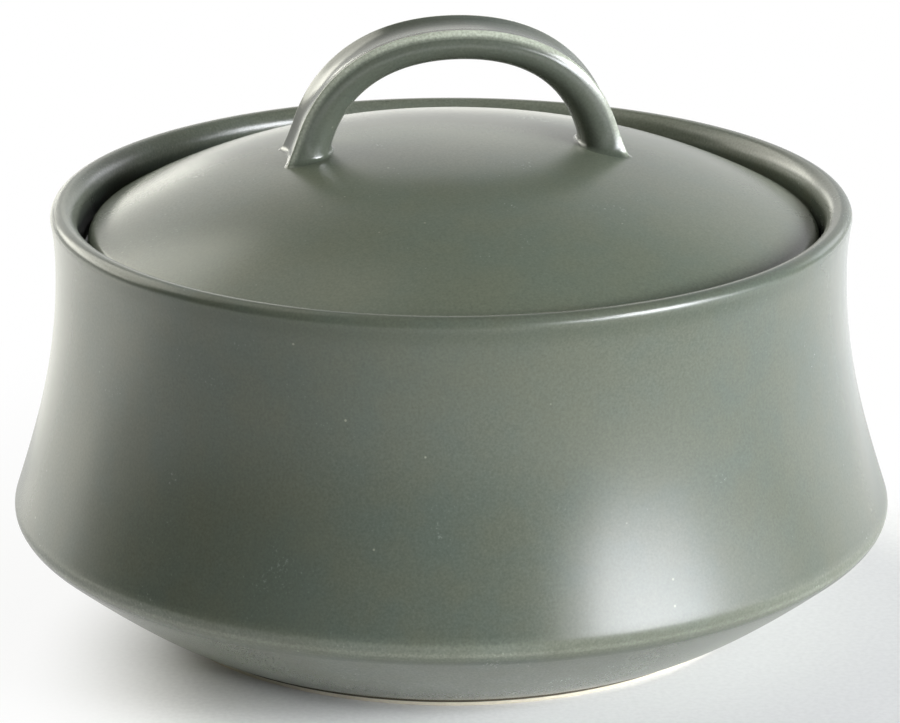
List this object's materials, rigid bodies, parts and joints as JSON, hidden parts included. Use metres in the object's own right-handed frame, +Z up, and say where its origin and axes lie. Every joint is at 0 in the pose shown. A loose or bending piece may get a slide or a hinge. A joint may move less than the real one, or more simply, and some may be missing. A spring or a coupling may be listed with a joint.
{
  "type": "lidded sugar bowl",
  "caption": "Round waisted stoneware sugar bowl with a low shoulder and a foot ring, closed by a domed lift-off lid that drops inside the rim and has an arched strap handle.",
  "frame": {"origin": "centre of the foot ring's standing plane", "axes": "+Z up along the bowl's axis, +X along the lid handle's arch from root to root"},
  "size_m": [0.1198, 0.1198, 0.0821],
  "materials": {
    "bowl_glaze": "satin sage grey-green stoneware glaze with a fine mottle, bare cream clay at the foot",
    "lid_glaze": "satin sage grey-green stoneware glaze with a fine mottle, bare cream clay on the resting face",
    "handle_glaze": "satin sage grey-green stoneware glaze that breaks paler along its edges"
  },
  "bodies": {
    "bowl": {"bowl_body": "bowl_glaze"},
    "lid": {"lid_cover": "lid_glaze", "lid_handle": "handle_glaze"}
  },
  "joints": [
    {"name": "lid_lift", "type": "slide", "parent": "bowl", "child": "lid", "axis": [0, 0, 1], "range_m": [0, 0.06]}
  ]
}
